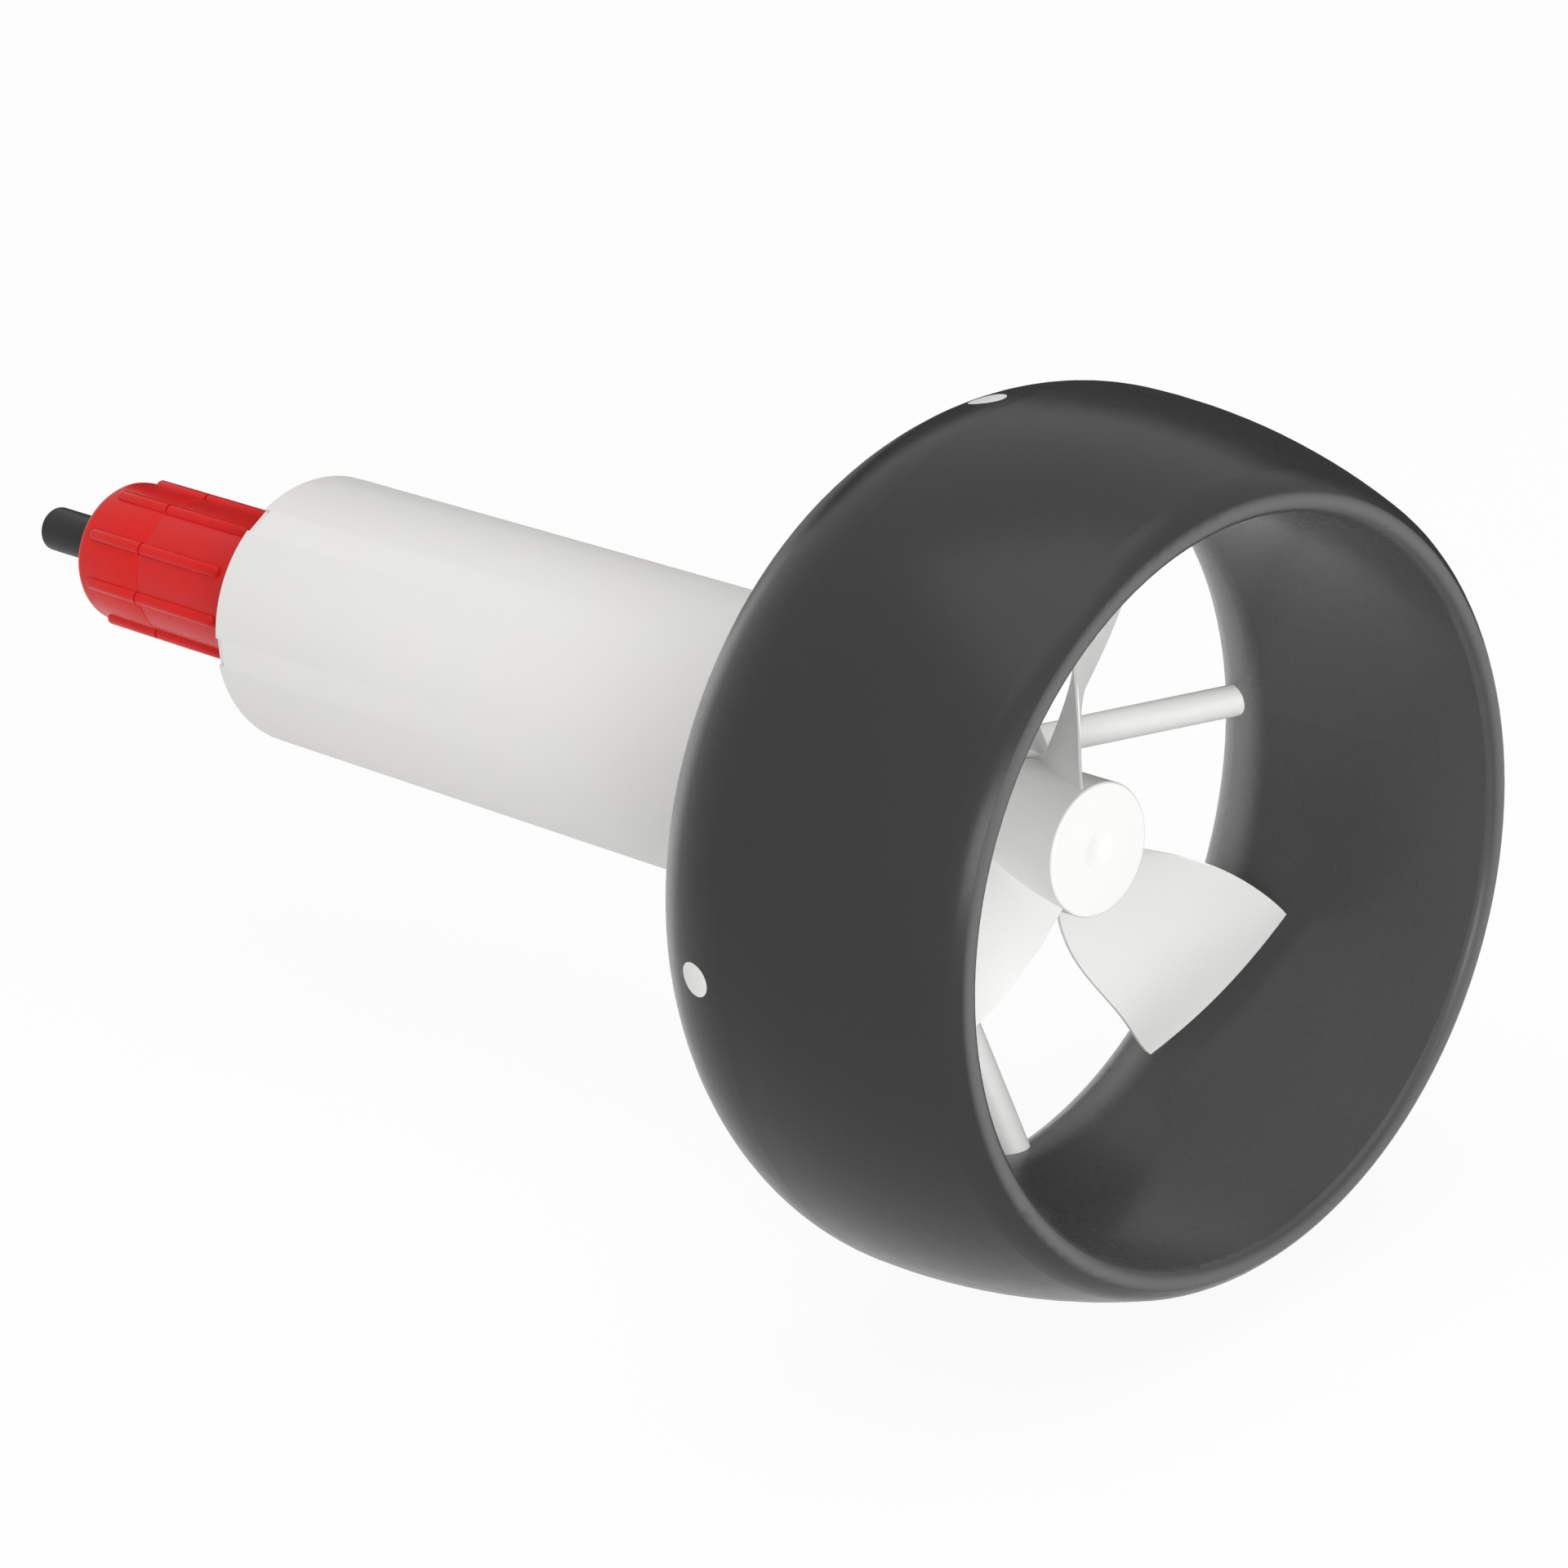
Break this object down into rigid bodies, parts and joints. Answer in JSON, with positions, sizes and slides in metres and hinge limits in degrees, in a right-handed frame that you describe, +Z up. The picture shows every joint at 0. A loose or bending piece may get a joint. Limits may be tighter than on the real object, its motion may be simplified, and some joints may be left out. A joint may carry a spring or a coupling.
{
  "type": "underwater thruster",
  "caption": "Ducted underwater thruster: a sealed pipe holds the motor, and a bladed propeller turns in a nozzle ring carried on leaning struts, with a ribbed cable gland behind.",
  "frame": {"origin": "centre of the housing pipe, on the shaft axis", "axes": "+X along the shaft to the open mouth of the nozzle ring, +Z up, +Y to the left when looking along +X; the struts lie on +Y, +Z, -Y and -Z"},
  "size_m": [0.2421, 0.118, 0.118],
  "materials": {
    "housing_plastic": "smooth off-white pipe plastic",
    "propeller_plastic": "moulded white plastic",
    "strut_plastic": "light grey plastic bar",
    "ring_plastic": "satin black plastic",
    "gland_plastic": "satin red plastic",
    "cable_rubber": "black cable jacket",
    "seal_rubber": "black seal rubber",
    "lead_red": "red lead insulation",
    "lead_black": "black lead insulation",
    "copper": "copper",
    "spring_steel": "spring steel",
    "shaft_steel": "ground stainless steel",
    "bush_bronze": "bronze",
    "coupling_aluminium": "turned aluminium",
    "spacer_plastic": "grey spacer plastic",
    "washer_plastic": "natural slip plastic",
    "motor_steel": "zinc plated can",
    "magnet_ferrite": "sintered ferrite",
    "bell_plastic": "black motor plastic",
    "brush_carbon": "carbon",
    "core_iron": "stacked iron sheets"
  },
  "bodies": {
    "stator": {"housing_pipe": "housing_plastic", "nose_bulkhead": "housing_plastic", "nose_o_ring": "seal_rubber", "rear_bulkhead": "housing_plastic", "rear_o_ring": "seal_rubber", "retaining_ring": "spring_steel", "gland_body": "gland_plastic", "gland_nut": "gland_plastic", "gland_seal": "seal_rubber", "gland_washer": "washer_plastic", "gland_gasket": "seal_rubber", "gland_locknut": "gland_plastic", "cable_jacket": "cable_rubber", "lead_positive": "lead_red", "lead_negative": "lead_black", "lead_conductors": "copper", "nozzle_ring": "ring_plastic", "strut_left": "strut_plastic", "strut_top": "strut_plastic", "strut_right": "strut_plastic", "strut_bottom": "strut_plastic", "front_bush": "bush_bronze", "rear_bush": "bush_bronze", "shaft_seal": "seal_rubber", "seal_spring": "spring_steel", "front_thrust_washer": "washer_plastic", "rear_thrust_washer": "washer_plastic", "front_spacer": "spacer_plastic", "rear_spacer": "spacer_plastic", "motor_mount": "coupling_aluminium", "motor_mount_screws": "shaft_steel", "motor_can": "motor_steel", "motor_magnets": "magnet_ferrite", "motor_end_bell": "bell_plastic", "motor_front_bush": "bush_bronze", "motor_rear_bush": "bush_bronze", "motor_brushes": "brush_carbon", "brush_arms": "bush_bronze"},
    "rotor": {"propeller": "propeller_plastic", "propeller_shaft": "shaft_steel", "drive_pin": "shaft_steel", "shaft_coupling": "coupling_aluminium", "coupling_screws": "shaft_steel", "motor_shaft": "shaft_steel", "armature_core": "core_iron", "armature_windings": "copper", "commutator": "copper"}
  },
  "joints": [
    {"name": "propeller_spin", "type": "hinge", "parent": "stator", "child": "rotor", "pos_m": [0, 0, 0], "axis": [1, 0, 0], "continuous": true}
  ]
}
